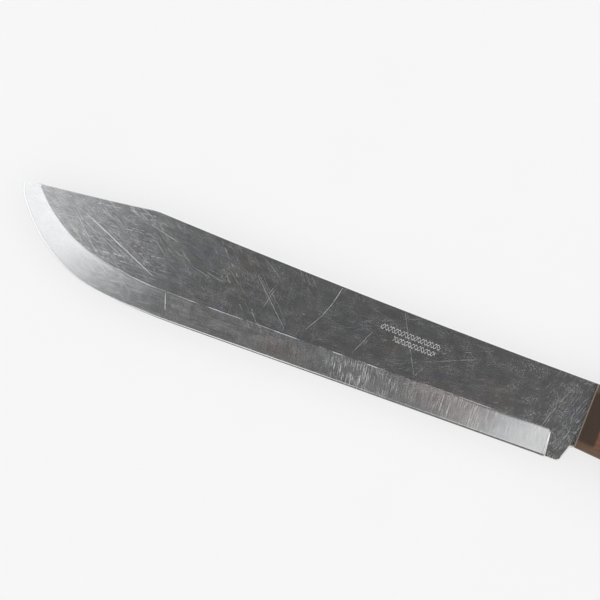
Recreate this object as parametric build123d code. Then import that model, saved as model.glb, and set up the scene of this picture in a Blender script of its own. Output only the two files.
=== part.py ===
from build123d import *
import os

# Bread knife with a plain ground edge: a blade and full tang in one piece of sheet steel, two wooden
# handle scales, and three compression rivets of two halves each.
#
# Lengths are millimetres and angles degrees. The knife lies on its right side. It is drawn about a datum
# at the front of the handle: x grows from the tip to the butt, y from the cutting edge to the spine, and
# z through the left side, with z = 0 in the middle of the steel. At the end every piece moves by one step
# that puts the origin at the bottom centre of the knife's box.

# ---- driving dimensions ----
BLADE_THICKNESS = 2.0
TANG_THICKNESS = 2.1  # the blade is ground and polished a little below the rolled tang
SCALE_THICKNESS = 8.4
HANDLE_FRONT_HEIGHT = 25.5

# Spine and clip point. The spine and the clip both sag a little between their ends.
SPINE_FRONT = (0.0, 0.0)
SPINE_MIDDLE = (-95.0, -1.0)
CLIP_START = (-178.0, 0.0)
CLIP_MIDDLE = (-203.0, -3.8)
CLIP_BEND_RADIUS = 18.0
TIP_TOP = -7.1  # y where the clip meets the blunt nose of the blade
NOSE_RADIUS = 0.9

# Cutting edge, from the heel to the tip: a straight run at a slope, then arcs as (radius, turn).
EDGE_HEEL = (-9.6, -32.81)
EDGE_SLOPE = 1.7
EDGE_STRAIGHT = 147.2
EDGE_ARCS = ((280.0, 5.7), (56.0, 52.4), (5.4, 36.6))
EDGE_FLAT = 0.1  # width of the very edge, as worn

# Grind line, where the flat of the blade ends and the bevel begins, in the same kinds of stretches.
GRIND_HEEL = (-10.1, -22.36)
GRIND_SLOPE = 1.7
GRIND_STRAIGHT = 154.0
GRIND_ARCS = ((114.0, 15.2), (54.5, 30.5), (54.5, 5.0))
PLUNGE_LEAN = 6.0
PLUNGE_CORNER_RADIUS = 1.2
BEHIND_EDGE_THICKNESS = 0.5  # left by the bevel before sharpening
SHARPENED_WIDTH = 0.9  # of the narrow bevel that forms the edge

# Heel of the blade, below the front of the handle.
HEEL_CORNER = (-3.5, -32.62)
HEEL_BACK_MIDDLE = (-2.35, -29.3)
HEEL_BACK_TOP = (-1.5, -26.2)
HEEL_CORNER_RADIUS = 1.6

# Handle outline, shared by the tang and both scales, and the direction it has at each joint of its curves.
HANDLE_TOP = ((0.0, 0.0), (42.0, 1.1), (88.0, -0.9), (112.0, -5.8))
HANDLE_BUTT = ((112.0, -5.8), (126.8, -19.5), (124.0, -31.0), (117.0, -34.6))
HANDLE_BOTTOM = ((117.0, -34.6), (94.0, -28.4), (66.0, -26.2), (34.0, -27.0), (0.0, -HANDLE_FRONT_HEIGHT))
TOP_FRONT_HEADING = 1.5
TOP_BACK_HEADING = -24.0
HOOK_HEADING = 180.0
BOTTOM_FRONT_HEADING = 176.7

# Scales.
FRONT_LIP = 1.0  # thickness of a scale where it meets the blade
FRONT_BEVEL_LENGTH = 5.0
SCALE_ROUND = 4.0

# Rivets, each a sleeve half with a pin half driven into it.
RIVETS = {"front": (20.0, -12.9), "middle": (62.0, -12.9), "rear": (103.0, -16.6)}
HEAD_RADIUS = 4.0
HEAD_THICKNESS = 1.6
HEAD_SINK = 0.05  # of a ground head below the wood
SLEEVE_RADIUS = 2.4
PIN_RADIUS = 1.6
HOLE_CLEARANCE = 0.05
SLEEVE_LENGTH = 12.8
PIN_LENGTH = 13.4
PIN_END_ROOM = 0.6  # of bore left beyond the end of the pin

# ---- derived sizes ----
HALF_BLADE = BLADE_THICKNESS / 2
HALF_TANG = TANG_THICKNESS / 2
OUTER_FACE = HALF_TANG + SCALE_THICKNESS  # height of a scale's outer face
HEAD_FACE = OUTER_FACE - HEAD_SINK
HEAD_SEAT = HEAD_FACE - HEAD_THICKNESS
HOLE_RADIUS = SLEEVE_RADIUS + HOLE_CLEARANCE
HANDLE_FOOT = (0.0, -HANDLE_FRONT_HEIGHT)

# How far the outlines of grinding tools reach past the blade.
TOOL_LEFT = -260.0
TOOL_LOW = -60.0
TOOL_HIGH = 20.0


def direction(heading):
    """Unit vector at an angle from the x axis."""
    return Vector(1, 0).rotate(Axis.Z, heading)


def ground_line(heel, slope, straight, arcs, inset=0.0):
    """Edges of a line along the blade from heel to tip, or of one lying inset towards the spine from it."""
    start = Vector(heel) + direction(90 + slope) * inset
    edges = [PolarLine(start, straight, 180 + slope)]
    for radius, turn in arcs:
        edges.append(JernArc(edges[-1] @ 1, edges[-1] % 1, radius - inset, -turn))
    return edges


def grinding_outline(edges, height, corner_radius=0.0):
    """Closed wire, at one height, round all that lies outside a line along the blade."""
    start, end = edges[0] @ 0, edges[-1] @ 1
    plunge = PolarLine(start, start.Y - TOOL_LOW, PLUNGE_LEAN - 90, length_mode=LengthMode.VERTICAL)
    corners = (end.X, TOOL_HIGH), (TOOL_LEFT, TOOL_HIGH), (TOOL_LEFT, TOOL_LOW)
    outline = Wire([*edges, *Polyline(end, *corners, plunge @ 1).edges(), plunge])
    if corner_radius:
        corner = outline.vertices().sort_by_distance(start)[0]
        outline = outline.fillet_2d(corner_radius, [corner])
    return outline.moved(Location((0, 0, height)))


def grinding_tool(low_outline, high_outline):
    """Solid between two outlines: its inner wall is the surface that grinding leaves."""
    return Solid.make_loft([low_outline, high_outline], ruled=True)


def bevel_tool():
    """Removes the wide bevel from the left side of the blade."""
    edge = ground_line(EDGE_HEEL, EDGE_SLOPE, EDGE_STRAIGHT, EDGE_ARCS)
    grind = ground_line(GRIND_HEEL, GRIND_SLOPE, GRIND_STRAIGHT, GRIND_ARCS)
    return grinding_tool(
        grinding_outline(edge, BEHIND_EDGE_THICKNESS / 2, PLUNGE_CORNER_RADIUS),
        grinding_outline(grind, HALF_BLADE, PLUNGE_CORNER_RADIUS),
    )


def sharpening_tool():
    """Removes the narrow bevel at the edge from the left side of the blade."""
    bevel_width = GRIND_HEEL[1] - EDGE_HEEL[1]
    rise_per_width = (BLADE_THICKNESS - BEHIND_EDGE_THICKNESS) / 2 / bevel_width
    surface = BEHIND_EDGE_THICKNESS / 2 + rise_per_width * SHARPENED_WIDTH
    above_surface = 2 * surface - EDGE_FLAT / 2
    edge = ground_line(EDGE_HEEL, EDGE_SLOPE, EDGE_STRAIGHT, EDGE_ARCS)
    inner = ground_line(EDGE_HEEL, EDGE_SLOPE, EDGE_STRAIGHT, EDGE_ARCS, inset=2 * SHARPENED_WIDTH)
    return grinding_tool(grinding_outline(edge, EDGE_FLAT / 2), grinding_outline(inner, above_surface))


def slab(face, thickness):
    """The face made into a plate about z = 0."""
    return extrude(face, thickness / 2, both=True)


def blade_outline():
    """Face of the blade in front of the handle."""
    edge = ground_line(EDGE_HEEL, EDGE_SLOPE, EDGE_STRAIGHT, EDGE_ARCS)
    nose = edge[-1] @ 1
    tip = (nose.X, TIP_TOP)
    face = make_face(
        [
            ThreePointArc(SPINE_FRONT, SPINE_MIDDLE, CLIP_START),
            ThreePointArc(CLIP_START, CLIP_MIDDLE, tip),
            Line(tip, nose),
            *edge,
            Line(EDGE_HEEL, HEEL_CORNER),
            ThreePointArc(HEEL_CORNER, HEEL_BACK_MIDDLE, HEEL_BACK_TOP),
            Line(HEEL_BACK_TOP, HANDLE_FOOT),
            Line(HANDLE_FOOT, SPINE_FRONT),
        ]
    )
    rounded = {tip: NOSE_RADIUS, CLIP_START: CLIP_BEND_RADIUS, HEEL_CORNER: HEEL_CORNER_RADIUS}
    for corner, radius in rounded.items():
        face = fillet(face.vertices().sort_by_distance(corner)[0], radius)
    return face


def handle_outline():
    """Face of the handle, seen from its side."""
    return make_face(
        [
            Spline(*HANDLE_TOP, tangents=[direction(TOP_FRONT_HEADING), direction(TOP_BACK_HEADING)]),
            Spline(*HANDLE_BUTT, tangents=[direction(TOP_BACK_HEADING), direction(HOOK_HEADING)]),
            Spline(*HANDLE_BOTTOM, tangents=[direction(HOOK_HEADING), direction(BOTTOM_FRONT_HEADING)]),
            Line(HANDLE_FOOT, SPINE_FRONT),
        ]
    )


def rivet_cylinders(radius, low, high):
    """One cylinder at each rivet's place."""
    places = [Location((x, y, low)) for x, y in RIVETS.values()]
    return [place * extrude(Circle(radius), high - low) for place in places]


def blade():
    """Blade and full tang."""
    steel = slab(blade_outline(), BLADE_THICKNESS) + slab(handle_outline(), TANG_THICKNESS)
    for tool in (bevel_tool(), sharpening_tool()):
        steel = steel - tool - tool.mirror(Plane.XY)
    for hole in rivet_cylinders(HOLE_RADIUS, -HALF_TANG, HALF_TANG):
        steel -= hole
    return steel


def left_scale():
    """Scale on the left side, with rounded edges and a front that slopes down to the blade."""
    wood = extrude(Plane.XY.offset(HALF_TANG) * handle_outline(), SCALE_THICKNESS)
    outer = wood.faces().sort_by(Axis.Z)[-1]
    front_edge = outer.edges().sort_by(Axis.X)[0]
    wood = fillet([edge for edge in outer.edges() if edge != front_edge], SCALE_ROUND)
    lip_top = HALF_TANG + FRONT_LIP
    above_slope = Polyline((0, lip_top), (FRONT_BEVEL_LENGTH, OUTER_FACE), (0, OUTER_FACE), close=True)
    wood -= extrude(make_face(Plane.XZ * above_slope), -TOOL_LOW, both=True)
    for hole in rivet_cylinders(HOLE_RADIUS, HALF_TANG, OUTER_FACE):
        wood -= hole
    for seat in rivet_cylinders(HEAD_RADIUS, HEAD_SEAT, OUTER_FACE):
        wood -= seat
    return wood


def sleeve_half(place):
    """Rivet half with the hollow shank; its head lies in the left scale."""
    head = Pos(*place, HEAD_SEAT) * extrude(Circle(HEAD_RADIUS), HEAD_THICKNESS)
    shank = Pos(*place, HEAD_SEAT - SLEEVE_LENGTH) * extrude(Circle(SLEEVE_RADIUS), SLEEVE_LENGTH)
    bore_depth = PIN_LENGTH + SLEEVE_LENGTH - 2 * HEAD_SEAT + PIN_END_ROOM
    bore = Pos(*place, HEAD_SEAT - SLEEVE_LENGTH) * extrude(Circle(PIN_RADIUS), bore_depth)
    return head + shank - bore


def pin_half(place):
    """Rivet half with the solid shank; its head lies in the right scale."""
    head = Pos(*place, -HEAD_FACE) * extrude(Circle(HEAD_RADIUS), HEAD_THICKNESS)
    shank = Pos(*place, -HEAD_SEAT) * extrude(Circle(PIN_RADIUS), PIN_LENGTH)
    return head + shank


def knife():
    """Every piece of the knife by name, about the datum of the drawing."""
    scale = left_scale()
    pieces = {"blade": blade(), "left_scale": scale, "right_scale": scale.mirror(Plane.XY)}
    for name, place in RIVETS.items():
        pieces[f"{name}_rivet_sleeve"] = sleeve_half(place)
        pieces[f"{name}_rivet_pin"] = pin_half(place)
    return pieces


def main():
    os.makedirs("parts", exist_ok=True)
    pieces = knife()
    box = Compound([solid for piece in pieces.values() for solid in piece.solids()]).bounding_box()
    to_origin = Pos(-box.center().X, -box.center().Y, -box.min.Z)
    for name, piece in pieces.items():
        export_step(to_origin * piece, f"parts/{name}.step")
    datum = to_origin.position
    print(f"box {box.size}, datum at {datum}")


main()
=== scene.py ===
import math

import bmesh
import bpy
import numpy as np
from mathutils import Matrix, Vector


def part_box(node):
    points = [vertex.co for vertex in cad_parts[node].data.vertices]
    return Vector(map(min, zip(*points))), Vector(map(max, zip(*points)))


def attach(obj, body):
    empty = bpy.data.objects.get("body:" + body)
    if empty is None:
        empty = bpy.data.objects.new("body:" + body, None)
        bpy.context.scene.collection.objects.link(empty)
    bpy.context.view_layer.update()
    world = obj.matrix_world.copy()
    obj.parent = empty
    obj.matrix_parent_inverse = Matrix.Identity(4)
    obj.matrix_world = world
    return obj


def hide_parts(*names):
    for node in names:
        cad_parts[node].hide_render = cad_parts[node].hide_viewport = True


# Looks of the bread knife. Shapes are worked out in millimetres from a datum at the front of the handle,
# on the spine and in the middle of the steel: x to the butt, y to the spine, z through the left side.
# The lines of the blade and the outline of the handle are read from the CAD meshes.

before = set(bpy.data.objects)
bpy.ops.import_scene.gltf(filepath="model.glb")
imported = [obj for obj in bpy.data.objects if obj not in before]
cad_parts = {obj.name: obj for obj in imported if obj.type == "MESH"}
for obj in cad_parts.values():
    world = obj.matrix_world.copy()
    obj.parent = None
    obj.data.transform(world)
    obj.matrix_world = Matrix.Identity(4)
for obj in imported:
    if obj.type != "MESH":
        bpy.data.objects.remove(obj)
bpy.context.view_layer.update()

MM = 0.001
WELD = 0.001  # points of a new shape that are closer than this, in millimetres, become one

# ---- blade ----
FLAT_LEAN = 1.0  # faces that lean less than this many degrees are the flat of the blade
WALL_LEAN = 80.0
EDGE_ROUNDING = 0.15
HEEL_BACK_ROUNDING = 0.4
SUPPORT = 0.2  # distance from a rounded place to the row of points that keeps its neighbour plain
HOLLOW_AT_TIP = 0.07  # depth of the hollow in the ground bevel
HOLLOW_AT_HEEL = 0.01
HEEL_STEEPENING = 0.2  # how much steeper the bevel is ground towards the heel
TIP_STEEPENING = 0.25
SHARPENED_AT_HEEL = 0.85  # width of the narrow bevel at the edge
SHARPENED_AT_TIP = 0.4
EDGE_HALF = 0.05  # half thickness of the steel at the very edge
BEHIND_EDGE_HALF = 0.25  # and where the wide bevel would reach the edge
PLUNGE_WIDTH = 0.6
SOFT_GRIND = 1.1  # half width of the worn grind line near the heel
CRISP_GRIND = 0.15  # and everywhere else
WORN_GRIND = (-34.0, 16.0)  # middle and reach in x of that worn stretch
# Where along x each of these begins, and where it is complete.
HEEL_STEEPENS = (-48.0, -10.0)
TIP_STEEPENS = (-162.0, -196.0)
HOLLOW_DEEPENS = (-150.0, -190.0)
HEEL_BACK_ROUNDS = (-4.4, -3.2)
MAIN_STATIONS = 150
BEVEL_ROWS = (0, 0.02, 0.045, 0.075, 0.11, 0.16, 0.25, 0.4, 0.55, 0.7, 0.85, 1)
TANG_CUT = 0.2  # distance behind the front of the handle where the ground blade meets the tang
PLUNGE_END = -12.0  # x by which the plunge has turned into the grind line
PLUNGE_REACH = 2.0  # how far from the plunge the stations still lean with it
HEEL_END = -16.0  # the edge in front of this x belongs to the stations of the heel
FAN_START = 0.6  # share of the grind line from which the stations fan out towards the tip
CLEARLY_BELOW = 0.01  # how far below the tang's face the flat of the blade is at least
HEEL_STATIONS = ((0.4, -1.2, 6), (-1.2, -5.6, 30), (-5.6, -8.4, 5), (-8.4, -12.6, 28))  # from, to, how many

# ---- handle ----
FRONT_LIP = 1.0
FRONT_BEVEL_LENGTH = 5.0
FRONT_BEVEL_BLEND = 0.5
SIDE_ROUNDING = 4.0
LIP_ROUNDING = 0.8
LIP_EDGE = 0.3
ROUNDING_PER_HEIGHT = 0.75
SCALE_STATIONS = ((0, 1, 9), (1.2, 7.4, 22), (9, 108, 45))  # from, to, how many
BUTT_START = 110.0
BUTT_STATIONS = 26
ROUNDING_ROWS = 10  # rows of points round each side of a scale
FACE_ROWS = 9  # and across its face, with the two at its borders
SEAT_DEPTH = 1.65  # of the seat for a rivet's head, below the outer face
HOLE_RADIUS = 2.45  # of the hole for a rivet's shank
CUT_BEYOND = 1.0  # how far a cutter reaches past the face it starts from
CUT_OVERLAP = 0.5  # how far the hole's cutter reaches into the seat

# ---- rivets ----
HEAD_THICKNESS = 1.6
HEAD_ROUNDING = 0.15
HEAD_DOME = 0.05
SLEEVE_RADIUS = 2.4
PIN_RADIUS = 1.6
SHANK_CHAMFER = 0.15  # also of the rim under the head
BORE_STOP = 1.6  # solid metal between the bore and the head
LATHE_STEPS = 96


def datum():
    """Where the datum lies in the row frame, in metres."""
    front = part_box("left_scale")[0].x
    blade_low, blade_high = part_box("blade")
    rim = [v.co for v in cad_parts["blade"].data.vertices if abs(v.co.x - front) < 1e-6]
    return Vector((front, max(p.y for p in rim), (blade_low.z + blade_high.z) / 2))


DATUM = datum()


def welded(node):
    """A CAD node's mesh as a BMesh in millimetres from the datum, with its shared vertices joined."""
    mesh = bmesh.new()
    mesh.from_mesh(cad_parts[node].data)
    bmesh.ops.translate(mesh, verts=mesh.verts, vec=-DATUM)
    bmesh.ops.scale(mesh, verts=mesh.verts, vec=Vector((1, 1, 1)) / MM)
    bmesh.ops.remove_doubles(mesh, verts=mesh.verts, dist=1e-3)
    mesh.normal_update()
    return mesh


def lean(face):
    """Angle in degrees between a face's normal and straight up."""
    return math.degrees(math.acos(max(-1.0, min(1.0, face.normal.z))))


def chain(edges, start):
    """Points of the joined edges in order, beginning at the end nearest to start."""
    links = {}
    for edge in edges:
        a, b = edge.verts
        links.setdefault(a, []).append(b)
        links.setdefault(b, []).append(a)
    ends = [v for v in links if len(links[v]) == 1] or list(links)
    here = min(ends, key=lambda v: (v.co - start).length)
    points = []
    while here is not None:
        points.append(tuple(here.co))
        onward = links.pop(here)
        here = next((v for v in onward if v in links), None)
    return np.array(points)


def between(mesh, first, second):
    """Edges where a face of one kind meets a face of another; kinds are tests of a face."""
    found = []
    for edge in mesh.edges:
        faces = edge.link_faces
        if len(faces) == 2:
            a, b = faces
            if (first(a) and second(b)) or (first(b) and second(a)):
                found.append(edge)
    return found


def lengths(line):
    """Distance of each point of a line from its start, along the line."""
    return np.concatenate(([0.0], np.cumsum(np.linalg.norm(np.diff(line, axis=0), axis=1))))


def at(line, distances):
    """Points of a line at distances along it."""
    known = lengths(line)
    return np.stack([np.interp(distances, known, line[:, i]) for i in range(line.shape[1])], axis=-1)


def distance_to(line, points):
    """Distance of each point from a line of straight pieces, all in the plane of the blade."""
    best = np.full(len(points), np.inf)
    for a, b in zip(line[:-1], line[1:]):
        span = b - a
        t = np.clip((points - a) @ span / max(span @ span, 1e-12), 0, 1)
        best = np.minimum(best, np.linalg.norm(points - a - t[:, None] * span, axis=1))
    return best


def smoothstep(t):
    t = np.clip(t, 0, 1)
    return t * t * (3 - 2 * t)


def comes_in(x, start, end):
    """0 up to start and 1 from end on, whichever way along x that is, and smooth between."""
    return smoothstep((x - start) / (end - start))


def drop_near_rim(distance, radius):
    """How far a rounded edge lies below its face at a distance in from the rim."""
    inside = np.clip(radius - distance, 0, radius)
    return radius - np.sqrt(np.maximum(radius**2 - inside**2, 0))


def grid_solid(name, upper, lower):
    """Closed mesh between two grids of points, [station, row, xyz] in millimetres, laid out alike."""
    stations, rows = upper.shape[:2]
    count = stations * rows
    index = np.arange(count).reshape(stations, rows)
    around = [*index[0], *index[1:, -1], *index[-1, -2::-1], *index[-2:0:-1, 0]]
    quads = [
        (index[s, r], index[s + 1, r], index[s + 1, r + 1], index[s, r + 1])
        for s in range(stations - 1)
        for r in range(rows - 1)
    ]
    faces = quads + [tuple(i + count for i in reversed(quad)) for quad in quads]
    faces += [(a, b, b + count, a + count) for a, b in zip(around, around[1:] + around[:1])]
    points = np.concatenate((upper.reshape(-1, 3), lower.reshape(-1, 3)))
    return solid(name, points, faces)


def solid(name, points, faces):
    """Object from points in millimetres, with doubled points joined and its faces turned outwards."""
    mesh = bmesh.new()
    vertices = [mesh.verts.new(Vector(p) * MM + DATUM) for p in points.tolist()]
    for face in faces:
        mesh.faces.new([vertices[i] for i in face])
    bmesh.ops.remove_doubles(mesh, verts=mesh.verts, dist=WELD * MM)
    bmesh.ops.dissolve_degenerate(mesh, edges=mesh.edges, dist=1e-8)
    bmesh.ops.recalc_face_normals(mesh, faces=mesh.faces)
    return new_object(name, mesh)


def new_object(name, mesh):
    data = bpy.data.meshes.new(name)
    mesh.to_mesh(data)
    mesh.free()
    made = bpy.data.objects.new(name, data)
    bpy.context.scene.collection.objects.link(made)
    return made


def combine(made, others, operation):
    """Joins other solids to an object, or cuts them from it, and removes them."""
    for other in others:
        step = made.modifiers.new(other.name, "BOOLEAN")
        step.operation = operation
        step.solver = "EXACT"
        step.object = other
    bpy.context.view_layer.update()
    result = bpy.data.meshes.new_from_object(made.evaluated_get(bpy.context.evaluated_depsgraph_get()))
    made.modifiers.clear()
    made.data = result
    for other in others:
        bpy.data.objects.remove(other)


def finish_shape(made, node, material, sharp_angle=35.0):
    """Shades an object, and has it stand for its CAD node."""
    made.data.shade_smooth()
    made.data.set_sharp_from_angle(angle=math.radians(sharp_angle))
    made.data.materials.clear()
    made.data.materials.append(material)
    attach(made, "root")
    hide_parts(node)


def set_attribute(made, name, values):
    attribute = made.data.attributes.new(name, "FLOAT", "POINT")
    attribute.data.foreach_set("value", np.asarray(values, np.float32))


def plane_points(made):
    """The (x, y) of each vertex in millimetres from the datum."""
    flat = np.zeros(len(made.data.vertices) * 3)
    made.data.vertices.foreach_get("co", flat)
    return ((flat.reshape(-1, 3) - np.array(DATUM)) / MM)[:, :2]


# ---------------------------------------------------------------- blade shape


class BladeLines:
    """The lines of the blade in its own plane, each from the handle towards the tip."""

    def __init__(self):
        mesh = welded("blade")
        tang_face = (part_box("blade")[1].z - DATUM.z) / MM

        def is_below_tang(face):
            return face.calc_center_median().z < tang_face - CLEARLY_BELOW

        def is_flat(face):
            return lean(face) < FLAT_LEAN and is_below_tang(face)

        def is_wall(face):
            return WALL_LEAN < lean(face) < 180 - WALL_LEAN

        def is_upper(face):
            return lean(face) < WALL_LEAN and is_below_tang(face)

        def is_sloped(face):
            return FLAT_LEAN < lean(face) < WALL_LEAN

        self.half = next(face for face in mesh.faces if is_flat(face)).verts[0].co.z
        rim_edges = [e for e in between(mesh, is_upper, is_wall) if min(v.co.x for v in e.verts) < -0.01]
        rim = chain(rim_edges, Vector((0, 0, self.half)))[:, :2]
        tip = int(np.argmin(rim[:, 0] - 0.01 * rim[:, 1]))
        self.spine = rim[: tip + 1]
        self.bottom = rim[tip:][::-1]
        ground_line = chain(between(mesh, is_flat, is_sloped), Vector((0, -40, self.half)))[:, :2]
        corner = int(np.argmax(ground_line[:, 0] < PLUNGE_END)) - 1
        self.plunge = ground_line[: corner + 1]
        self.grind = ground_line[corner:]
        mesh.free()

    def grind_at(self, x):
        """Points of the straight grind line, carried on towards the handle."""
        a, b = self.grind[0], self.grind[1]
        return np.stack([x, a[1] + (x - a[0]) * (b[1] - a[1]) / (b[0] - a[0])], axis=-1)

    def plunge_at(self, y):
        """x of the plunge, where the bevel ends near the heel, at heights y."""
        order = np.argsort(self.plunge[:, 1])
        return np.interp(y, self.plunge[order, 1], self.plunge[order, 0])


def upright(line, x):
    """Points of a line at places x along the blade."""
    order = np.argsort(line[:, 0])
    return np.stack([x, np.interp(x, line[order, 0], line[order, 1])], axis=-1)


def blade_stations(lines):
    """For each station along the blade, its point on the spine, the grind line and the bottom."""
    heel_x = np.concatenate([np.linspace(*stretch, endpoint=False) for stretch in HEEL_STATIONS])
    heel_bottom = lines.bottom[lines.bottom[:, 0] > HEEL_END]
    plunge_foot, plunge_head = lines.plunge[0, 0], lines.plunge[:, 0].min()
    near_plunge = np.exp(-(((heel_x - plunge_head) / PLUNGE_REACH) ** 2))
    along_plunge = (plunge_foot - plunge_head) * near_plunge
    heel = (
        upright(lines.spine, heel_x),
        lines.grind_at(heel_x),
        upright(heel_bottom, heel_x + along_plunge),
    )
    last_x = HEEL_STATIONS[-1][1]
    start = lines.grind_at(np.array([last_x]))
    grind = np.concatenate((start, lines.grind[lines.grind[:, 0] < last_x - 0.1]))
    bottom_start = upright(heel_bottom, np.array([last_x]))
    bottom = np.concatenate((bottom_start, lines.bottom[lines.bottom[:, 0] < last_x - 0.1]))
    grind_length, bottom_length = lengths(grind)[-1], lengths(bottom)[-1]
    share = np.linspace(0, 1, MAIN_STATIONS)
    share = np.append(share, 1 - EDGE_ROUNDING / grind_length)
    share.sort()
    g = share * grind_length
    beyond = np.clip((g - FAN_START * grind_length) / ((1 - FAN_START) * grind_length), 0, 1)
    e = g + (bottom_length - grind_length) * beyond**2
    on_grind = at(grind, g)
    main = (upright(lines.spine, on_grind[:, 0]), on_grind, at(bottom, e))
    return [np.concatenate(pair) for pair in zip(heel, main)]


def blade_rows(width, height, soft, sharpened, rounding):
    """Distance of each row of points below the grind line, [station, row]; rows above it are negative.

    A row close beside every rounded place keeps the faces next to it plain.
    """
    support = np.minimum(SUPPORT, 0.15 * height)
    face_top, face_bottom = -height + rounding + support, -soft - support
    ground_top, ground_bottom = soft + SUPPORT, width - sharpened - SUPPORT
    rows = [-height + rounding * k for k in (0, 0.15, 0.5, 1)]
    rows += [face_top + (face_bottom - face_top) * k for k in (0, 0.33, 0.67, 1)]
    rows += [soft * k for k in (-1, -0.5, 0, 0.5, 1)]
    rows += [ground_top + (ground_bottom - ground_top) * k for k in BEVEL_ROWS]
    rows += [width - sharpened - 0.03, width - sharpened + 0.03, width - 0.75 * sharpened]
    rows += [width - EDGE_ROUNDING * k for k in (1, 0.5, 0.15, 0)]
    return np.stack(rows, axis=1)


def make_blade(material):
    lines = BladeLines()
    top, grind, bottom = blade_stations(lines)
    down = bottom - grind
    width = np.linalg.norm(down, axis=1)
    down /= width[:, None]
    up = top - grind
    height = np.linalg.norm(up, axis=1)
    up /= np.maximum(height, 1e-9)[:, None]
    along = np.clip(-bottom[:, 0] / -bottom[:, 0].min(), 0, 1)
    sharpened = SHARPENED_AT_HEEL + (SHARPENED_AT_TIP - SHARPENED_AT_HEEL) * along
    worn_middle, worn_reach = WORN_GRIND
    worn = np.exp(-(((grind[:, 0] - worn_middle) / worn_reach) ** 2))
    soft = CRISP_GRIND + (SOFT_GRIND - CRISP_GRIND) * worn
    soft = np.minimum(soft, 0.3 * np.maximum(height, 0.02))
    rounding = np.minimum(EDGE_ROUNDING, 0.4 * height)

    below = blade_rows(width, height, soft, sharpened, rounding)
    points = grind[:, None] + np.where(
        below[..., None] < 0, up[:, None] * -below[..., None], down[:, None] * below[..., None]
    )

    # Depth to which the wide bevel is ground, softened at the grind line and hollowed.
    slope = (lines.half - BEHIND_EDGE_HALF) / width[:, None]
    slope *= 1 + HEEL_STEEPENING * comes_in(grind[:, :1], *HEEL_STEEPENS)
    slope *= 1 + TIP_STEEPENING * comes_in(grind[:, :1], *TIP_STEEPENS)
    blend = soft[:, None]
    depth = np.where(below > blend, below, (below + blend) ** 2 / (4 * blend)) * (below > -blend) * slope
    share = np.clip(below / width[:, None], 0, 1)
    hollow = HOLLOW_AT_HEEL + (HOLLOW_AT_TIP - HOLLOW_AT_HEEL) * comes_in(grind[:, :1], *HOLLOW_DEEPENS)
    depth += hollow * 4 * share * (1 - share) * smoothstep(below / 1.5)

    # The narrow bevel at the edge, and what stays unground behind the plunge.
    above_edge = width[:, None] - below
    at_line = lines.half - slope * (width - sharpened)[:, None]
    edge_plane = EDGE_HALF + above_edge * (at_line - EDGE_HALF) / sharpened[:, None]
    ground = np.minimum(lines.half - depth, edge_plane)
    from_rim = distance_to(lines.bottom, points.reshape(-1, 2)).reshape(below.shape)
    at_heel_back = comes_in(points[..., 0], *HEEL_BACK_ROUNDS)
    rim_rounding = EDGE_ROUNDING + (HEEL_BACK_ROUNDING - EDGE_ROUNDING) * at_heel_back
    unground = lines.half - drop_near_rim(from_rim, rim_rounding)
    past_plunge = smoothstep((lines.plunge_at(points[..., 1]) - points[..., 0]) / PLUNGE_WIDTH)
    past_plunge *= below > -blend
    thickness = np.where(
        below > 0, unground + (ground - unground) * past_plunge, lines.half - depth * past_plunge
    )
    below_spine = np.maximum(below + height[:, None], 0)
    thickness -= np.where(below < 0, drop_near_rim(below_spine, np.maximum(rounding, 1e-6)[:, None]), 0)
    thickness[-1] -= 0.3 * np.minimum(EDGE_ROUNDING, thickness[-1])

    upper = np.concatenate((points, thickness[..., None]), axis=-1)
    lower = upper * (1, 1, -1)
    made = grid_solid("blade_shape", upper, lower)
    combine(made, [tang_shape()], "UNION")
    made.name = "blade_and_tang"
    places = plane_points(made)
    ground_outline = np.concatenate((lines.plunge, lines.grind))
    set_attribute(made, "from_grind", distance_to(ground_outline, places))
    set_attribute(made, "from_edge", distance_to(lines.bottom, places))
    set_attribute(made, "from_spine", distance_to(lines.spine, places))
    bevel = np.concatenate((ground_outline, lines.bottom[lines.bottom[:, 0] < lines.plunge[0, 0]][::-1]))
    set_attribute(made, "bevel", inside(bevel, places))
    finish_shape(made, "blade", material)


def inside(outline, points):
    """1 for each point within a closed outline, and 0 for the others."""
    crossings = np.zeros(len(points), int)
    for a, b in zip(outline, np.roll(outline, -1, axis=0)):
        spans = (a[1] > points[:, 1]) != (b[1] > points[:, 1])
        if spans.any():
            x = a[0] + (points[:, 1] - a[1]) / ((b[1] - a[1]) or 1e-12) * (b[0] - a[0])
            crossings += spans & (points[:, 0] < x)
    return crossings % 2


def tang_shape():
    """The CAD tang, with its rivet holes, cut off just behind the front of the handle."""
    mesh = bmesh.new()
    mesh.from_mesh(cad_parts["blade"].data)
    bmesh.ops.remove_doubles(mesh, verts=mesh.verts, dist=1e-6)
    cut = DATUM + Vector((TANG_CUT * MM, 0, 0))
    everything = mesh.verts[:] + mesh.edges[:] + mesh.faces[:]
    bmesh.ops.bisect_plane(mesh, geom=everything, plane_co=cut, plane_no=(1, 0, 0), clear_inner=True)
    open_edges = [edge for edge in mesh.edges if edge.is_boundary]
    bmesh.ops.contextual_create(mesh, geom=open_edges)
    bmesh.ops.recalc_face_normals(mesh, faces=mesh.faces)
    return new_object("tang", mesh)


# ---------------------------------------------------------------- handle shape


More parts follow.
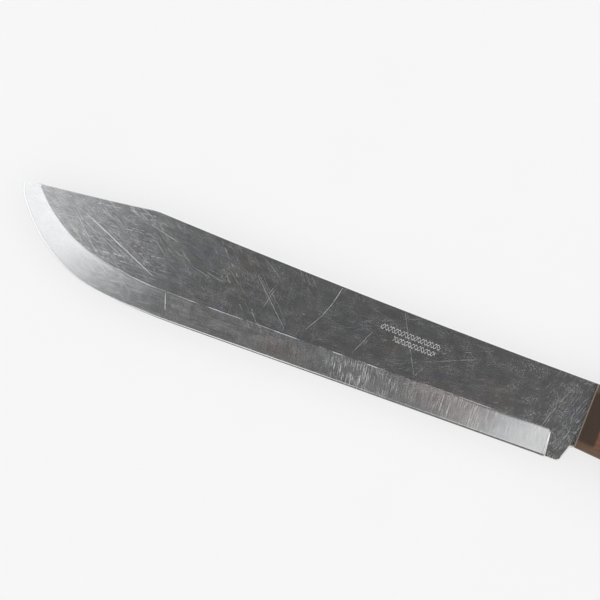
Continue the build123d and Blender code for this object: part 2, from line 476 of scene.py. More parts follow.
class HandleLines:
    """Outline of the handle in the blade's plane, and a scale's heights above the middle of the steel."""

    def __init__(self):
        mesh = welded("left_scale")
        low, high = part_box("left_scale")
        self.base = (low.z - DATUM.z) / MM
        self.face = (high.z - DATUM.z) / MM
        self.end = (high.x - DATUM.x) / MM
        under = [edge for edge in mesh.edges if all(abs(v.co.z - self.base) < 1e-3 for v in edge.verts)]
        rim = [edge for edge in under if any(lean(f) < 179 for f in edge.link_faces)]
        sides = [edge for edge in rim if max(v.co.x for v in edge.verts) > 0.01]
        sides = [edge for edge in sides if not self.in_hole(edge)]
        self.outline = chain(sides, Vector((0, 0, self.base)))[:, :2]
        end = int(np.argmax(self.outline[:, 0]))
        self.top = self.outline[: end + 1]
        self.bottom = self.outline[end:]
        mesh.free()

    @staticmethod
    def in_hole(edge):
        """Whether an edge belongs to a rivet hole."""
        middle = (edge.verts[0].co + edge.verts[1].co) / 2
        places = rivet_places()
        return any(math.hypot(middle.x - p.x, middle.y - p.y) < radius for p, radius in places)


def rivet_places():
    """Centre of each rivet in millimetres from the datum, and the radius of its head."""
    places = []
    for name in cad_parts:
        if name.endswith("_rivet_pin"):
            low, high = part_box(name)
            places.append((((low + high) / 2 - DATUM) / MM, (high.x - low.x) / 2 / MM))
    return places


def make_scale(name, node, lines, side, material):
    """A handle scale; side is 1 on the left and -1 on the right."""
    butt = lines.end - (lines.end - BUTT_START) * np.linspace(1, 0, BUTT_STATIONS) ** 2
    x = np.concatenate([np.linspace(*stretch) for stretch in SCALE_STATIONS] + [butt])
    top, bottom = upright(lines.top, x), upright(lines.bottom, x)
    height = top[:, 1] - bottom[:, 1]
    steps = SIDE_ROUNDING * (1 - np.cos(np.linspace(0, math.pi / 2, ROUNDING_ROWS)))
    insets = steps[None] * np.minimum(1, 0.4 * height / SIDE_ROUNDING)[:, None]
    middle = np.linspace(0, 1, FACE_ROWS)[1:-1]
    inner_top, inner_bottom = top[:, 1] - insets[:, -1], bottom[:, 1] + insets[:, -1]
    y = np.concatenate(
        (
            top[:, 1:] - insets,
            inner_top[:, None] + (inner_bottom - inner_top)[:, None] * middle,
            (bottom[:, 1:] + insets)[:, ::-1],
        ),
        axis=1,
    )
    points = np.stack((np.broadcast_to(x[:, None], y.shape), y), axis=-1)

    bevel = FRONT_LIP + x * (lines.face - lines.base - FRONT_LIP) / FRONT_BEVEL_LENGTH
    full = lines.face - lines.base
    blend = np.clip(0.5 + (full - bevel) / (2 * FRONT_BEVEL_BLEND), 0, 1)
    rise = full + (bevel - full) * blend - FRONT_BEVEL_BLEND * blend * (1 - blend)
    rounding = np.clip(ROUNDING_PER_HEIGHT * rise, LIP_ROUNDING, SIDE_ROUNDING)
    from_rim = distance_to(lines.outline, points.reshape(-1, 2)).reshape(y.shape)
    tall = rise[:, None] - drop_near_rim(from_rim, rounding[:, None] * np.ones_like(y))
    tall -= drop_near_rim(x, LIP_EDGE)[:, None]
    upper = np.concatenate((points, side * (lines.base + tall)[..., None]), axis=-1)
    lower = np.concatenate((points, np.full(y.shape + (1,), side * lines.base)), axis=-1)
    made = grid_solid(name, upper, lower)
    seat = lines.face - SEAT_DEPTH
    cutters = []
    for i, (place, radius) in enumerate(rivet_places()):
        above, below = lines.face + CUT_BEYOND, lines.base - CUT_BEYOND
        cutters.append(rod(f"seat_{i}", place, radius, side * seat, side * above))
        cutters.append(rod(f"hole_{i}", place, HOLE_RADIUS, side * below, side * (seat + CUT_OVERLAP)))
    combine(made, cutters, "DIFFERENCE")
    set_attribute(made, "from_rim", distance_to(lines.outline, plane_points(made)))
    finish_shape(made, node, material)


def make_rivets(material):
    """The halves of the rivets, lathed, each in the place of its CAD node."""
    for node in list(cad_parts):
        if "_rivet_" not in node:
            continue
        low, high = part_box(node)
        centre = ((low + high) / 2 - DATUM) / MM
        radius = (high.x - low.x) / 2 / MM
        whole = (high.z - low.z) / MM
        is_sleeve = node.endswith("_sleeve")
        profile = sleeve_shank(whole) if is_sleeve else pin_shank(whole)
        profile += rivet_head(radius, whole)
        side = 1 if is_sleeve else -1
        made = lathed(node.replace("rivet", "brass"), centre, profile, side)
        finish_shape(made, node, material)


def sleeve_shank(whole):
    """Profile, as (radius, height) points, of a hollow shank from the end of its bore to its head."""
    bore_end = whole - HEAD_THICKNESS - BORE_STOP
    lip = SHANK_CHAMFER
    return [
        (0, bore_end),
        (PIN_RADIUS, bore_end),
        (PIN_RADIUS, lip),
        (PIN_RADIUS + lip, 0),
        (SLEEVE_RADIUS - lip, 0),
        (SLEEVE_RADIUS, lip),
        (SLEEVE_RADIUS, whole - HEAD_THICKNESS),
    ]


def pin_shank(whole):
    """Profile of a solid shank from its end to its head."""
    return [
        (0, 0),
        (PIN_RADIUS - SHANK_CHAMFER, 0),
        (PIN_RADIUS, SHANK_CHAMFER),
        (PIN_RADIUS, whole - HEAD_THICKNESS),
    ]


def rivet_head(radius, whole):
    """Profile of a head, its rim rounded and its face very slightly domed."""
    seat = whole - HEAD_THICKNESS
    rim = whole - HEAD_DOME
    points = [(radius - SHANK_CHAMFER, seat), (radius, seat + SHANK_CHAMFER)]
    for angle in np.linspace(0, math.pi / 2, 6):
        inset = HEAD_ROUNDING * (1 - math.cos(angle))
        points.append((radius - inset, rim - HEAD_ROUNDING * (1 - math.sin(angle))))
    flat = radius - HEAD_ROUNDING
    points += [(flat * k, whole - HEAD_DOME * k**2) for k in (0.9, 0.75, 0.5, 0.25, 0)]
    return points


def lathed(name, centre, profile, side):
    """Solid turned about a line along z; the profile's heights run to the head, up where side is 1."""
    whole = profile[-1][1]
    turns = np.linspace(0, 2 * math.pi, LATHE_STEPS, endpoint=False)
    points = [
        (centre.x + r * math.cos(turn), centre.y + r * math.sin(turn), centre.z + side * (h - whole / 2))
        for r, h in profile
        for turn in turns
    ]
    faces = []
    for ring in range(len(profile) - 1):
        for i in range(LATHE_STEPS):
            a, b = ring * LATHE_STEPS + i, ring * LATHE_STEPS + (i + 1) % LATHE_STEPS
            faces.append((a, b, b + LATHE_STEPS, a + LATHE_STEPS))
    return solid(name, np.array(points), faces)


def rod(name, place, radius, low, high):
    """Cylinder along z between two heights, in millimetres."""
    mesh = bmesh.new()
    bmesh.ops.create_cone(
        mesh,
        cap_ends=True,
        segments=LATHE_STEPS,
        radius1=radius * MM,
        radius2=radius * MM,
        depth=abs(high - low) * MM,
    )
    centre = Vector((place.x, place.y, (low + high) / 2)) * MM + DATUM
    bmesh.ops.translate(mesh, verts=mesh.verts, vec=centre)
    return new_object(name, mesh)


# ---------------------------------------------------------------- materials


class Shader:
    """Short calls for building one material's nodes."""

    def __init__(self, name, tree=None):
        if tree is None:
            self.material = bpy.data.materials.new(name)
            self.material.use_nodes = True
            tree = self.material.node_tree
        tree.nodes.clear()
        self.tree = tree

    def node(self, kind, settings=None, **inputs):
        made = self.tree.nodes.new("ShaderNode" + kind)
        for key, value in (settings or {}).items():
            setattr(made, key, value)
        for key, value in inputs.items():
            self.feed(made.inputs[key.replace("_", " ")], value)
        return made

    def feed(self, socket, value):
        if isinstance(value, bpy.types.NodeSocket):
            self.tree.links.new(value, socket)
        else:
            socket.default_value = value

    def math(self, operation, a, b=0.0, c=0.0):
        made = self.tree.nodes.new("ShaderNodeMath")
        made.operation = operation
        for socket, value in zip(made.inputs, (a, b, c)):
            self.feed(socket, value)
        return made.outputs[0]

    def total(self, *values):
        result = values[0]
        for value in values[1:]:
            result = self.math("ADD", result, value)
        return result

    def ramp(self, value, low, high, to_low=0.0, to_high=1.0, smooth=True):
        settings = {"interpolation_type": "SMOOTHSTEP" if smooth else "LINEAR", "clamp": not smooth}
        made = self.node("MapRange", settings)
        for name, number in (("Value", value), ("From Min", low), ("From Max", high)):
            self.feed(made.inputs[name], number)
        self.feed(made.inputs["To Min"], to_low)
        self.feed(made.inputs["To Max"], to_high)
        return made.outputs[0]

    def mix(self, share, a, b, blend="MIX"):
        made = self.node("Mix", {"data_type": "RGBA", "blend_type": blend})
        self.feed(made.inputs[0], share)
        self.feed(made.inputs[6], a)
        self.feed(made.inputs[7], b)
        return made.outputs[2]

    def mix_value(self, share, a, b):
        made = self.node("Mix", {"data_type": "FLOAT"})
        self.feed(made.inputs[0], share)
        self.feed(made.inputs[2], a)
        self.feed(made.inputs[3], b)
        return made.outputs[0]

    def attribute(self, name):
        return self.node("Attribute", {"attribute_name": name}).outputs["Fac"]

    def millimetres(self):
        """Place on the object in millimetres from the datum."""
        coordinates = self.node("TexCoord").outputs["Object"]
        offset = tuple(-c / MM for c in DATUM)
        return self.node("Mapping", Vector=coordinates, Location=offset, Scale=(1 / MM,) * 3).outputs[0]

    def noise(self, place, stretch, angle=0.0, detail=2.0, distortion=0.0, shift=0.0):
        """Noise with features of the sizes in stretch, turned in the plane of the blade."""
        turned = self.node("Mapping", Vector=place, Rotation=(0, 0, -math.radians(angle)))
        sized = self.node("Mapping", Vector=turned.outputs[0], Scale=tuple(1 / s for s in stretch))
        sized.inputs["Location"].default_value = (shift, shift * 1.7, shift * 0.6)
        made = self.node("TexNoise", Vector=sized.outputs[0], Scale=1.0, Detail=detail, Distortion=distortion)
        return made.outputs[0]

    def hairlines(self, place, x, y, angle, spacing, length, width, shift):
        """Fine straight lines at an angle, that come and go; all sizes in millimetres."""
        turn = math.radians(angle)
        along_x = self.math("MULTIPLY_ADD", x, -math.sin(turn) / spacing, shift)
        step = self.math("MULTIPLY_ADD", y, math.cos(turn) / spacing, along_x)
        wave = self.node("TexNoise", {"noise_dimensions": "1D"}, W=step, Scale=1.0, Detail=0.0).outputs[0]
        off = self.math("ABSOLUTE", self.math("SUBTRACT", wave, 0.57))
        line = self.ramp(off, 0.6 * width / spacing, 0.1 * width / spacing)
        here = self.noise(place, (length * 0.5, spacing * 0.8, 90.0), angle, detail=0.0, shift=shift + 31.0)
        return self.math("MULTIPLY", line, self.ramp(here, 0.5, 0.62))

    def field(self, x, y, centre, reach, near, far, at_near, at_far):
        """A value that goes from at_near to at_far over an oval in the plane of the blade."""
        across = self.math("MULTIPLY_ADD", x, 1 / reach[0], -centre[0] / reach[0])
        up = self.math("MULTIPLY_ADD", y, 1 / reach[1], -centre[1] / reach[1])
        away = self.math("SQRT", self.math("MULTIPLY_ADD", up, up, self.math("MULTIPLY", across, across)))
        return self.ramp(away, near, far, at_near, at_far)

    def principled(self, **inputs):
        shader = self.node("BsdfPrincipled", **inputs)
        output = self.node("OutputMaterial")
        self.tree.links.new(shader.outputs[0], output.inputs["Surface"])
        return shader


def stroke_group():
    """Node group: 1 on a straight stroke between two points in the plane of the blade, 0 off it."""
    group = bpy.data.node_groups.new("stroke", "ShaderNodeTree")
    for name in ("Place", "From", "To"):
        group.interface.new_socket(name, in_out="INPUT", socket_type="NodeSocketVector")
    group.interface.new_socket("Half Width", in_out="INPUT", socket_type="NodeSocketFloat")
    group.interface.new_socket("Mask", in_out="OUTPUT", socket_type="NodeSocketFloat")
    s = Shader("stroke", group)
    given = group.nodes.new("NodeGroupInput")
    result = group.nodes.new("NodeGroupOutput")

    def vector(operation, a, b, scale=None):
        made = s.node("VectorMath", {"operation": operation})
        s.feed(made.inputs[0], a)
        if b is not None:
            s.feed(made.inputs[1], b)
        if scale is not None:
            s.feed(made.inputs["Scale"], scale)
        return made

    place = vector("MULTIPLY", given.outputs["Place"], (1, 1, 0)).outputs[0]
    to_place = vector("SUBTRACT", place, given.outputs["From"]).outputs[0]
    span = vector("SUBTRACT", given.outputs["To"], given.outputs["From"]).outputs[0]
    reach = vector("DOT_PRODUCT", to_place, span).outputs["Value"]
    whole = vector("DOT_PRODUCT", span, span).outputs["Value"]
    t = s.math("MINIMUM", s.math("MAXIMUM", s.math("DIVIDE", reach, whole), 0.0), 1.0)
    nearest = vector("SCALE", span, None, t).outputs[0]
    off = vector("DISTANCE", to_place, nearest).outputs["Value"]
    taper = s.ramp(s.math("ABSOLUTE", s.math("SUBTRACT", t, 0.5)), 0.5, 0.25, 0.35, 1.0)
    share = s.math("DIVIDE", off, s.math("MULTIPLY", given.outputs["Half Width"], taper))
    s.feed(result.inputs["Mask"], s.ramp(share, 1.0, 0.3))
    return group


# Long scratches, as (x, y) points in millimetres, half width and strength.
LONG_SCRATCHES = (
    (((-202.0, -10.3), (-170.6, -23.2)), 0.2, 0.75),
    (((-206.5, -10.8), (-192.0, -24.0)), 0.12, 0.5),
    (((-213.0, -11.4), (-199.0, -21.6)), 0.16, 0.35),
    (((-206.5, -6.2), (-198.0, -9.2)), 0.1, 0.4),
    (((-196.5, -7.4), (-189.6, -8.9)), 0.1, 0.45),
    (((-203.0, -12.4), (-196.0, -15.8)), 0.1, 0.35),
    (((-187.5, -16.0), (-182.0, -17.4)), 0.1, 0.3),
    (((-184.0, -0.8), (-178.0, -2.8)), 0.14, 0.5),
    (((-183.5, -2.8), (-179.5, -4.4)), 0.14, 0.5),
    (((-178.0, -5.5), (-166.0, -8.0)), 0.16, 0.4),
    (((-192.0, -7.5), (-188.5, -9.0)), 0.14, 0.4),
    (((-186.0, -22.6), (-166.0, -21.6)), 0.12, 0.35),
    (((-163.6, -27.6), (-161.5, -33.5)), 0.2, 0.55),
    (((-102.4, -1.4), (-103.7, -8.0)), 0.18, 0.6),
    (((-103.6, -7.6), (-106.0, -14.4)), 0.16, 0.55),
    (((-105.8, -14.0), (-109.6, -20.8)), 0.14, 0.45),
    (((-133.5, -9.0), (-117.0, -24.0)), 0.16, 0.4),
    (((-133.2, -8.4), (-124.0, -16.2)), 0.1, 0.35),
    (((-132.4, -9.2), (-125.5, -18.0)), 0.1, 0.3),
    (((-130.6, -9.6), (-121.0, -17.6)), 0.1, 0.3),
    (((-127.2, -13.2), (-126.2, -9.6)), 0.1, 0.4),
    (((-125.8, -11.0), (-127.5, -19.0)), 0.14, 0.4),
    (((-131.0, -22.0), (-127.0, -26.5)), 0.14, 0.35),
    (((-85.8, -12.0), (-90.3, -22.8)), 0.14, 0.4),
    (((-133.5, -1.8), (-126.0, -6.2)), 0.14, 0.3),
    (((-141.0, -1.8), (-137.0, -6.5)), 0.12, 0.25),
    (((-115.0, -1.8), (-111.8, -4.6)), 0.12, 0.25),
    (((-91.0, -3.9), (-80.0, -6.4)), 0.12, 0.25),
    (((-77.0, -2.0), (-65.5, -22.5)), 0.16, 0.35),
    (((-65.3, -22.3), (-63.0, -17.5)), 0.14, 0.3),
    (((-145.0, -10.0), (-134.0, -18.0)), 0.16, 0.25),
    (((-14.0, -21.6), (-12.6, -16.2)), 0.1, 0.5),
    (((-13.0, -21.4), (-12.2, -18.6)), 0.1, 0.45),
    (((-9.0, -18.5), (-8.0, -13.5)), 0.1, 0.35),
    (((-7.2, -12.0), (-6.0, -5.0)), 0.1, 0.3),
    (((-4.0, -13.5), (-3.2, -9.5)), 0.1, 0.3),
    (((-40.8, -23.5), (-40.0, -32.5)), 0.18, 0.35),
    (((-184.5, -25.3), (-177.5, -26.5)), 0.2, 0.5),
    (((-179.0, -26.4), (-168.0, -27.0)), 0.17, 0.7),
    (((-169.0, -26.95), (-150.0, -26.7)), 0.1, 0.5),
    (((-147.5, -26.6), (-133.0, -26.1)), 0.14, 0.6),
    (((-121.0, -25.8), (-110.5, -25.5)), 0.14, 0.55),
    (((-97.5, -25.1), (-93.5, -25.0)), 0.19, 0.7),
    (((-83.5, -24.7), (-79.0, -24.6)), 0.19, 0.7),
    (((-47.0, -23.5), (-34.0, -23.2)), 0.14, 0.6),
)

# Fields of hairlines: angle, spacing, length, width, middle and reach of the field, strength.
HAIRLINE_FIELDS = (
    (-22, 0.7, 9.0, 0.06, (-202, -12), (34, 24), 0.6),
    (-36, 1.0, 12.0, 0.06, (-196, -14), (40, 24), 0.5),
    (8, 0.9, 3.0, 0.08, (-196, -12), (40, 24), 0.4),
    (-12, 1.2, 12.0, 0.06, (-165, -8), (40, 18), 0.3),
    (3, 1.4, 16.0, 0.06, (-185, -31), (60, 12), 0.3),
    (24, 1.1, 4.0, 0.07, (-62, -14), (46, 20), 0.24),
    (-45, 1.4, 5.0, 0.07, (-132, -12), (34, 22), 0.3),
    (-79, 0.5, 7.0, 0.09, (-84, -30), (18, 6), 0.6),
    (-86, 0.6, 8.0, 0.08, (-42, -28), (20, 7), 0.4),
    (72, 0.7, 5.0, 0.07, (-8, -14), (14, 22), 0.4),
)

# Faint stains of the flats: shift of their noise, and colour.
STAINS = ((11.0, (0.6, 0.6, 0.69, 1)), (13.0, (0.57, 0.65, 0.63, 1)), (17.0, (0.68, 0.64, 0.61, 1)))

# Braids of the ornament: middle, half length, level, half height, and length of a wave, in millimetres.
BRAIDS = ((-72.0, 12.0, -9.2, 0.9, 2.6), (-69.5, 8.5, -12.2, 0.85, 2.6))
STRAND_PHASES = (0.0, 2.4)  # of the two strands of a braid, in radians

# Faint warm patches, as middle and reach in millimetres.
WARM_PATCHES = (((-117.0, -31.0), (16.0, 5.0)), ((-50.0, -26.0), (24.0, 9.0)), ((-34.0, -17.0), (10.0, 8.0)))


def steel():
    s = Shader("blade_steel")
    place = s.millimetres()
    parts = s.node("SeparateXYZ", Vector=place)
    x, y, z = parts.outputs
    bevel = s.attribute("bevel")
    flat = s.math("SUBTRACT", 1.0, bevel)
    from_grind, from_edge = s.attribute("from_grind"), s.attribute("from_edge")
    left = s.math("GREATER_THAN", z, 0.0)

    cloud = s.noise(place, (5.0, 3.5, 3.5), detail=3.0, shift=9.0)
    grit = s.noise(place, (0.5, 0.4, 0.4), detail=2.0, shift=19.0)
    to_tip = s.ramp(x, -165.0, -215.0)
    near_handle = s.ramp(x, -42.0, -8.0)

    # Scratches that came with use.
    scratches_and_glints = 0.0
    for i, (angle, spacing, length, width, centre, reach, strength) in enumerate(HAIRLINE_FIELDS):
        line = s.hairlines(place, x, y, angle, spacing, length, width, shift=7.3 * i)
        here = s.field(x, y, centre, reach, 0.5, 1.1, strength, strength * 0.15)
        scratches_and_glints = s.math("MAXIMUM", scratches_and_glints, s.math("MULTIPLY", line, here))

    group = stroke_group()
    for (start, end), half_width, strength in LONG_SCRATCHES:
        stroke = s.node("Group", {"node_tree": group}, Place=place, From=(*start, 0), To=(*end, 0))
        stroke.inputs["Half Width"].default_value = half_width
        mask = s.math("MULTIPLY", stroke.outputs[0], strength)
        scratches_and_glints = s.math("MAXIMUM", scratches_and_glints, s.math("MULTIPLY", mask, left))

    # Worn streaks along the grind line near the heel, later painted pale as a painted highlight.
    worn = s.ramp(s.noise(place, (5, 60, 60), detail=3.0, shift=3.0), 0.42, 0.6)
    near_line = s.ramp(from_grind, 0.2, 0.05)
    worn = s.math("MULTIPLY", worn, s.ramp(x, -32.0, -42.0))
    worn = s.math("MULTIPLY", near_line, worn)
    scratches_and_glints = s.math("MAXIMUM", scratches_and_glints, s.math("MULTIPLY", worn, 0.35))
    scratches_and_glints = s.math("MULTIPLY", scratches_and_glints, s.ramp(grit, 0.3, 0.55, 0.55, 1.0))
    nicks = s.ramp(s.noise(place, (0.26, 0.17, 0.17), angle=50.0, detail=0.0, shift=41.0), 0.66, 0.76)
    nicks = s.math("MULTIPLY", nicks, s.ramp(cloud, 0.4, 0.6, 0.2, 1.0))
    worked = s.math("MAXIMUM", to_tip, near_handle)
    nicks = s.math("MULTIPLY", nicks, s.mix_value(s.math("MULTIPLY", worked, flat), 0.3, 0.5))
    scratches_and_glints = s.math("MAXIMUM", scratches_and_glints, nicks)
    etched = s.math("MULTIPLY", ornament(s, x, y), left)

    # Polishing lines along the flats, grinding lines across the bevel, and soft stains.
    along = s.noise(place, (9.0, 0.3, 0.3), angle=2.0, detail=3.0, shift=5.0)
    slanting = s.noise(place, (2.4, 0.4, 0.4), angle=-14.0, detail=3.0, shift=15.0)
    across = s.noise(place, (0.3, 5.0, 5.0), angle=8.0, detail=3.0, shift=25.0)
    polish = s.mix_value(to_tip, along, slanting)
    lines = s.mix_value(s.math("MULTIPLY", bevel, s.ramp(x, -150.0, -100.0)), polish, across)
    specks = s.ramp(s.noise(place, (0.9, 0.45, 0.45), angle=35.0, detail=1.0, shift=21.0), 0.62, 0.72)

    tint = s.noise(place, (22, 13, 13), detail=1.0, shift=1.0)
    warmer = s.math("MULTIPLY", s.ramp(tint, 0.38, 0.62), s.ramp(x, -175.0, -150.0))
    colour = s.mix(warmer, (0.645, 0.652, 0.664, 1), (0.658, 0.653, 0.65, 1))
    stained = s.math("MULTIPLY", flat, s.mix_value(to_tip, 0.6, 0.15))
    for shift, stain in STAINS:
        patch = s.ramp(s.noise(place, (9, 6, 6), detail=1.0, shift=shift), 0.58, 0.75)
        colour = s.mix(s.math("MULTIPLY", patch, stained), colour, stain)
    for middle, reach in WARM_PATCHES:
        share = s.field(x, y, middle, reach, 0.3, 1.0, 0.7, 0.0)
        colour = s.mix(share, colour, (0.71, 0.645, 0.63, 1))
    of_lines = s.mix_value(to_tip, s.mix_value(bevel, 0.05, 0.09), s.mix_value(bevel, 0.12, 0.03))
    of_grit = s.math("MULTIPLY", s.mix_value(to_tip, 0.06, 0.13), s.ramp(cloud, 0.42, 0.58, 0.2, 1.0))
    of_grit = s.math("MULTIPLY", of_grit, s.mix_value(bevel, 1.0, 0.4))
    shade = s.total(
        s.math("MULTIPLY", s.ramp(lines, 0.25, 0.75, -1.0, 1.0), of_lines),
        s.ramp(cloud, 0.3, 0.7, -0.03, 0.03),
        s.math("MULTIPLY", s.ramp(grit, 0.25, 0.75, -1.0, 1.0), of_grit),
        1.0,
    )
    shade_colour = s.node("CombineColor", Red=shade, Green=shade, Blue=shade).outputs[0]
    colour = s.mix(1.0, colour, shade_colour, "MULTIPLY")

    # The narrow bevel at the edge is painted dark as a painted reflection, the rim of the spine is painted
    # dark too, and painted shade lies on the blade against the handle.
    sharpened = s.math("LESS_THAN", from_edge, s.ramp(x, -60.0, -130.0, 0.8, 0.4))
    sharpened = s.math("MULTIPLY", sharpened, s.ramp(x, -9.2, -9.8))
    dark_edge = s.math("MULTIPLY", sharpened, s.ramp(x, -190.0, -150.0, 0.1, 0.92))
    at_spine = s.ramp(s.attribute("from_spine"), 0.35, 0.1)
    rim = s.math("MULTIPLY", at_spine, s.ramp(x, -182.0, -176.0, 0.15, 0.75))
    # Painted shade on the blade just in front of the handle.
    painted_shade_at_handle = s.math("MULTIPLY", s.ramp(x, -2.2, -0.3), s.ramp(cloud, 0.3, 0.6, 0.3, 0.6))
    painted_dark = s.math("MAXIMUM", s.math("MAXIMUM", dark_edge, rim), painted_shade_at_handle)
    colour = s.mix(painted_dark, colour, (0.05, 0.052, 0.05, 1))
    # Near the tip: a painted highlight along the edge, and thin painted dark reflections at the very edge and
    # on a line further in.
    near_tip = s.ramp(x, -175.0, -192.0)
    outer = s.ramp(from_edge, 0.16, 0.06)
    inner = s.ramp(s.math("ABSOLUTE", s.math("SUBTRACT", from_edge, 0.75)), 0.14, 0.06)
    painted_dark_lines = s.math("MULTIPLY", s.math("MAXIMUM", outer, s.math("MULTIPLY", inner, 0.6)), near_tip)
    painted_edge_highlight = s.math("MULTIPLY", s.ramp(from_edge, 0.75, 0.6), near_tip)
    colour = s.mix(s.math("MULTIPLY", painted_edge_highlight, 0.4), colour, (0.97, 0.97, 0.97, 1))
    colour = s.mix(s.math("MULTIPLY", painted_dark_lines, 0.55), colour, (0.2, 0.2, 0.21, 1))
    # Scratches, nicks and the worn streaks at the grind line are real marks, painted paler than the steel as
    # a painted highlight where they catch the light.
    colour = s.mix(scratches_and_glints, colour, (0.9, 0.9, 0.91, 1))
    colour = s.mix(s.math("MULTIPLY", etched, 0.5), colour, (0.85, 0.85, 0.84, 1))

    rough = s.total(s.ramp(lines, 0.25, 0.75, 0.142, 0.158), s.ramp(cloud, 0.3, 0.7, -0.005, 0.005))
    rough = s.math("ADD", rough, s.math("MULTIPLY", s.math("MULTIPLY", to_tip, 0.012), flat))
    rough = s.math("ADD", rough, s.math("MULTIPLY", specks, s.mix_value(to_tip, 0.012, 0.03)))
    rough = s.mix_value(scratches_and_glints, rough, 0.5)
    rough = s.mix_value(s.math("MULTIPLY", etched, 0.6), rough, 0.5)
    depth = s.total(s.math("MULTIPLY", lines, 0.35), s.math("MULTIPLY", etched, -0.6))
    bump = s.node("Bump", Strength=0.5, Distance=0.000004, Height=depth)
    s.principled(Base_Color=colour, Metallic=1.0, Roughness=rough, Normal=bump.outputs[0])
    return s.material


def ornament(s, x, y):
    """1 on a generic etched ornament: a long and a short braid of two wavy strands each."""
    result = 0.0
    for centre, half_long, level, half_high, wave in BRAIDS:
        across = s.math("SUBTRACT", x, centre)
        ends = s.ramp(s.math("ABSOLUTE", across), half_long, half_long - 0.3)
        turn = s.math("MULTIPLY", across, 2 * math.pi / wave)
        for phase in STRAND_PHASES:
            swing = s.math("SINE", s.math("ADD", turn, phase))
            above = s.math("SUBTRACT", y, level)
            off = s.math("ABSOLUTE", s.math("SUBTRACT", above, s.math("MULTIPLY", swing, half_high)))
            strand = s.math("MULTIPLY", s.ramp(off, 0.24, 0.08), ends)
            result = s.math("MAXIMUM", result, strand)
    return result


def wood():
    s = Shader("handle_wood")
    place = s.millimetres()
    x = s.node("SeparateXYZ", Vector=place).outputs[0]
    from_rim = s.attribute("from_rim")
    rings = s.noise(place, (60, 3.2, 3.2), detail=3.0, distortion=0.4)
    fibres = s.noise(place, (16, 0.35, 0.35), detail=4.0, shift=4.0)
    pores = s.ramp(s.noise(place, (5.0, 0.28, 0.28), detail=1.0, shift=8.0), 0.62, 0.7)
    colour = s.mix(s.ramp(rings, 0.3, 0.7), (0.08, 0.03, 0.019, 1), (0.16, 0.062, 0.034, 1))
    colour = s.mix(s.ramp(fibres, 0.3, 0.7, 0.0, 0.6), colour, (0.2, 0.088, 0.047, 1))
    worn = s.ramp(from_rim, 4.5, 2.0)
    rubbed = s.mix(s.ramp(fibres, 0.25, 0.75), (0.055, 0.038, 0.022, 1), (0.125, 0.09, 0.052, 1))
    colour = s.mix(s.math("MULTIPLY", worn, 0.75), colour, rubbed)
    colour = s.mix(s.math("MULTIPLY", pores, 0.7), colour, (0.045, 0.021, 0.013, 1))

    # The bevel at the front is painted darker, partly for its darker end grain and partly as painted shade on
    # its sloping face, and a thin band along its lip is painted pale.
    to_back = s.math("ADD", x, s.ramp(fibres, 0.3, 0.7, -0.2, 0.2))
    front = s.math("MULTIPLY", s.ramp(to_back, 6.0, 5.3), s.ramp(from_rim, 2.2, 3.9))
    colour = s.mix(s.math("MULTIPLY", front, 0.9), colour, (0.028, 0.0175, 0.0095, 1))
    lip = s.ramp(x, 0.3, 0.05)
    pale = s.math("MULTIPLY", lip, s.ramp(fibres, 0.35, 0.6, 0.4, 0.8))
    colour = s.mix(pale, colour, (0.36, 0.29, 0.24, 1))
    rough = s.ramp(fibres, 0.3, 0.7, 0.42, 0.6)
    height = s.total(s.math("MULTIPLY", pores, -1.0), s.math("MULTIPLY", fibres, 0.6))
    bump = s.node("Bump", Strength=0.5, Distance=0.00006, Height=height)
    s.principled(Base_Color=colour, Roughness=rough, Normal=bump.outputs[0], Specular_IOR_Level=0.3)
    return s.material


def brass():
    s = Shader("rivet_brass")
    place = s.millimetres()
    lines = s.noise(place, (6, 0.12, 6), angle=35.0, detail=3.0)
    stain = s.noise(place, (2.4, 2.4, 2.4), detail=3.0, shift=2.0)
    colour = s.mix(s.ramp(stain, 0.35, 0.7), (0.68, 0.47, 0.2, 1), (0.5, 0.32, 0.15, 1))
    colour = s.mix(s.ramp(lines, 0.45, 0.7, 0.0, 0.5), colour, (0.85, 0.66, 0.36, 1))
    rough = s.ramp(lines, 0.3, 0.7, 0.25, 0.45)
    bump = s.node("Bump", Strength=0.4, Distance=0.00001, Height=lines)
    s.principled(Base_Color=colour, Metallic=1.0, Roughness=rough, Normal=bump.outputs[0])
    return s.material


# ---------------------------------------------------------------- studio

IMAGE_TURN = 21.4  # degrees between the blade and the picture's level
AIM = (-115.7, -11.5)  # middle of the picture, in millimetres from the datum
PICTURE_WIDTH = 225.3  # width of the picture at the blade, in millimetres
LENS = 112.0
BRIGHT = 1.35  # light of the dome, and of the dark patch overhead
DARK = 0.09
FLOOR_GAP = 0.1
FLOOR_GLOW = 0.678
FLOOR_HALF = 3.0  # half the side of the floor, in metres


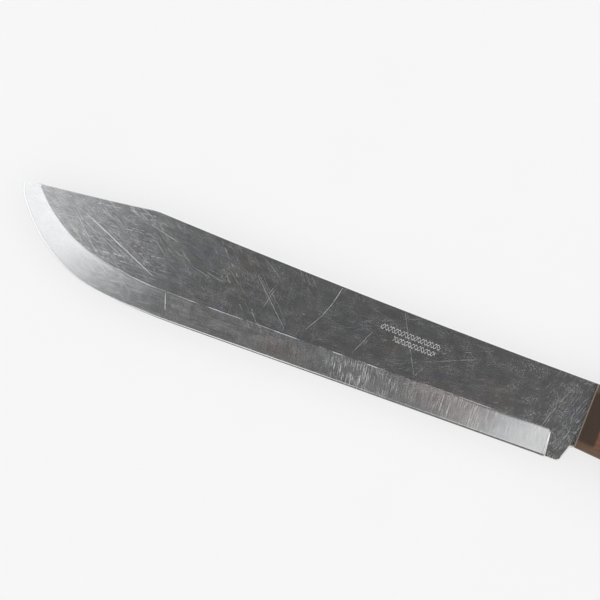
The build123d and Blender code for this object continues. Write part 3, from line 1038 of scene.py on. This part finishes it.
def studio():
    """Floor, light and camera."""
    s = Shader("floor")
    speckle = s.noise(s.millimetres(), (30, 30, 30), detail=2.0)
    colour = s.mix(speckle, (0.19, 0.19, 0.19, 1), (0.205, 0.205, 0.205, 1))
    shader = s.principled(Base_Color=colour, Roughness=0.9)
    shader.inputs["Emission Color"].default_value = (1, 1, 1, 1)
    shader.inputs["Emission Strength"].default_value = FLOOR_GLOW
    mesh = bmesh.new()
    bmesh.ops.create_grid(mesh, x_segments=1, y_segments=1, size=FLOOR_HALF)
    bmesh.ops.translate(mesh, verts=mesh.verts, vec=(0, 0, -FLOOR_GAP * MM))
    floor = new_object("floor", mesh)
    floor.data.materials.append(s.material)

    world = bpy.data.worlds.new("studio")
    world.use_nodes = True
    bpy.context.scene.world = world
    w = Shader("world", world.node_tree)
    parts = w.node("SeparateXYZ", Vector=w.node("TexCoord").outputs["Generated"])
    x, y, z = parts.outputs

    # The dark patch is laid out on a level plane above the knife, where a direction is (x / z, y / z).
    up = w.math("MAXIMUM", z, 0.001)
    tx, ty = w.math("DIVIDE", x, up), w.math("DIVIDE", y, up)
    sides = (
        w.ramp(tx, -0.118, -0.195, smooth=False),
        w.ramp(tx, 0.3, 0.4),
        w.ramp(ty, -0.24, -0.34),
        w.ramp(ty, 0.25, 0.4),
        w.ramp(w.math("SUBTRACT", tx, ty), 0.319, 0.347, smooth=False),
    )
    light = sides[0]
    for side in sides[1:]:
        light = w.math("MAXIMUM", light, side)
    light = w.mix_value(light, DARK, BRIGHT)

    # Less light from near the horizon, so that the blade shows against the floor in low views.
    near_horizon = w.ramp(z, 0.02, 0.14, 0.7, 0.5)
    light = w.math("MULTIPLY", light, w.mix_value(w.ramp(z, 0.15, 0.5), near_horizon, 1.0))
    colour = w.node("CombineColor", Red=light, Green=light, Blue=light)
    background = w.node("Background", Color=colour.outputs[0], Strength=1.0)
    output = w.node("OutputWorld")
    w.tree.links.new(background.outputs[0], output.inputs["Surface"])

    camera = bpy.data.objects.new("camera", bpy.data.cameras.new("camera"))
    bpy.context.scene.collection.objects.link(camera)
    camera.data.lens = LENS
    distance = PICTURE_WIDTH * LENS / camera.data.sensor_width
    camera.location = Vector((*AIM, distance)) * MM + DATUM
    camera.rotation_euler = (0, 0, math.radians(IMAGE_TURN))
    camera.data.clip_start = 0.01
    bpy.context.scene.camera = camera
    bpy.context.scene.view_settings.view_transform = "Standard"


make_blade(steel())
handle = HandleLines()
handle_wood = wood()
make_scale("handle_scale_left", "left_scale", handle, 1, handle_wood)
make_scale("handle_scale_right", "right_scale", handle, -1, handle_wood)
make_rivets(brass())
studio()
